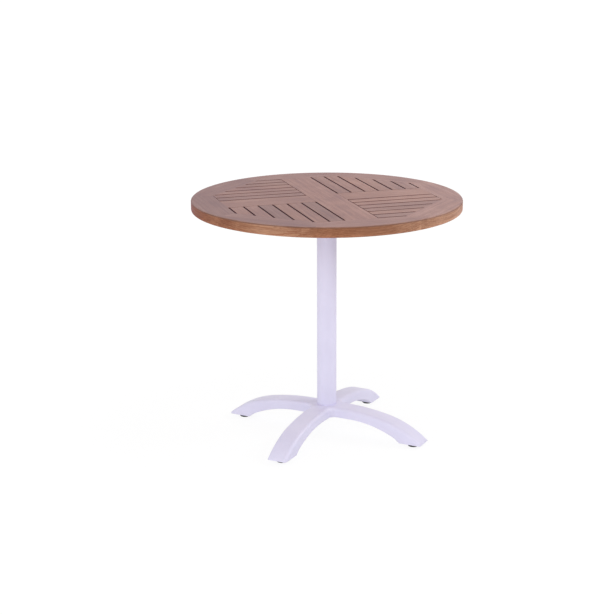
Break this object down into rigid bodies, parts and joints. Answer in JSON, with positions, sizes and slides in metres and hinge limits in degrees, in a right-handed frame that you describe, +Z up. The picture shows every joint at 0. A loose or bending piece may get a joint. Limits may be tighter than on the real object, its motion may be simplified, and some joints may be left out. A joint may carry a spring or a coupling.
{
  "type": "folding bistro table",
  "caption": "Round slatted wooden top on a white metal column with an arched cross base; the top tilts upright on a hinge with a clamp lever, and the feet screw to level.",
  "frame": {"origin": "on the floor under the middle of the column", "axes": "+Z up, +X along the cross boards, +Y along the centre board towards the hinge side"},
  "size_m": [0.8, 0.8, 0.73],
  "materials": {
    "teak": "oiled, satin",
    "white_casting": "white powder coat",
    "white_tube": "white powder coat",
    "zinc_steel": "zinc plated",
    "black_nylon": "moulded, matt",
    "black_rubber": "matt"
  },
  "bodies": {
    "pedestal": {"base_casting": "white_casting", "column_tube": "white_tube", "column_head": "white_casting", "stop_buffer": "black_rubber", "tie_rod": "zinc_steel", "tie_nut": "zinc_steel", "tie_washer": "zinc_steel"},
    "top": {"rim_segment_1": "teak", "rim_segment_2": "teak", "rim_segment_3": "teak", "rim_segment_4": "teak", "rim_segment_5": "teak", "rim_segment_6": "teak", "rim_segment_7": "teak", "rim_segment_8": "teak", "centre_board": "teak", "cross_board_right": "teak", "cross_board_left": "teak", "slat_back_right_1": "teak", "slat_back_right_2": "teak", "slat_back_right_3": "teak", "slat_back_right_4": "teak", "slat_back_right_5": "teak", "slat_back_right_6": "teak", "slat_back_left_1": "teak", "slat_back_left_2": "teak", "slat_back_left_3": "teak", "slat_back_left_4": "teak", "slat_back_left_5": "teak", "slat_back_left_6": "teak", "slat_front_left_1": "teak", "slat_front_left_2": "teak", "slat_front_left_3": "teak", "slat_front_left_4": "teak", "slat_front_left_5": "teak", "slat_front_left_6": "teak", "slat_front_right_1": "teak", "slat_front_right_2": "teak", "slat_front_right_3": "teak", "slat_front_right_4": "teak", "slat_front_right_5": "teak", "slat_front_right_6": "teak", "top_bracket": "white_casting", "bracket_screws": "zinc_steel", "hinge_bolt": "zinc_steel", "hinge_nut": "zinc_steel", "hinge_washers": "zinc_steel", "cam_washer": "zinc_steel"},
    "lever": {"clamp_lever": "black_nylon", "cam_pin": "zinc_steel"},
    "foot_1": {"foot_pad_1": "black_nylon", "foot_stud_1": "zinc_steel"},
    "foot_2": {"foot_pad_2": "black_nylon", "foot_stud_2": "zinc_steel"},
    "foot_3": {"foot_pad_3": "black_nylon", "foot_stud_3": "zinc_steel"},
    "foot_4": {"foot_pad_4": "black_nylon", "foot_stud_4": "zinc_steel"}
  },
  "joints": [
    {"name": "top_tilt", "type": "hinge", "parent": "pedestal", "child": "top", "pos_m": [0, 0.035, 0.676], "axis": [-1, 0, 0], "range_deg": [0, 90]},
    {"name": "clamp_swing", "type": "hinge", "parent": "top", "child": "lever", "pos_m": [0.0468, 0.035, 0.676], "axis": [0, 0, 1], "range_deg": [0, 100]},
    {"name": "level_1", "type": "slide", "parent": "pedestal", "child": "foot_1", "axis": [0, 0, 1], "range_m": [-0.005, 0.0025]},
    {"name": "level_2", "type": "slide", "parent": "pedestal", "child": "foot_2", "axis": [0, 0, 1], "range_m": [-0.005, 0.0025]},
    {"name": "level_3", "type": "slide", "parent": "pedestal", "child": "foot_3", "axis": [0, 0, 1], "range_m": [-0.005, 0.0025]},
    {"name": "level_4", "type": "slide", "parent": "pedestal", "child": "foot_4", "axis": [0, 0, 1], "range_m": [-0.005, 0.0025]}
  ]
}
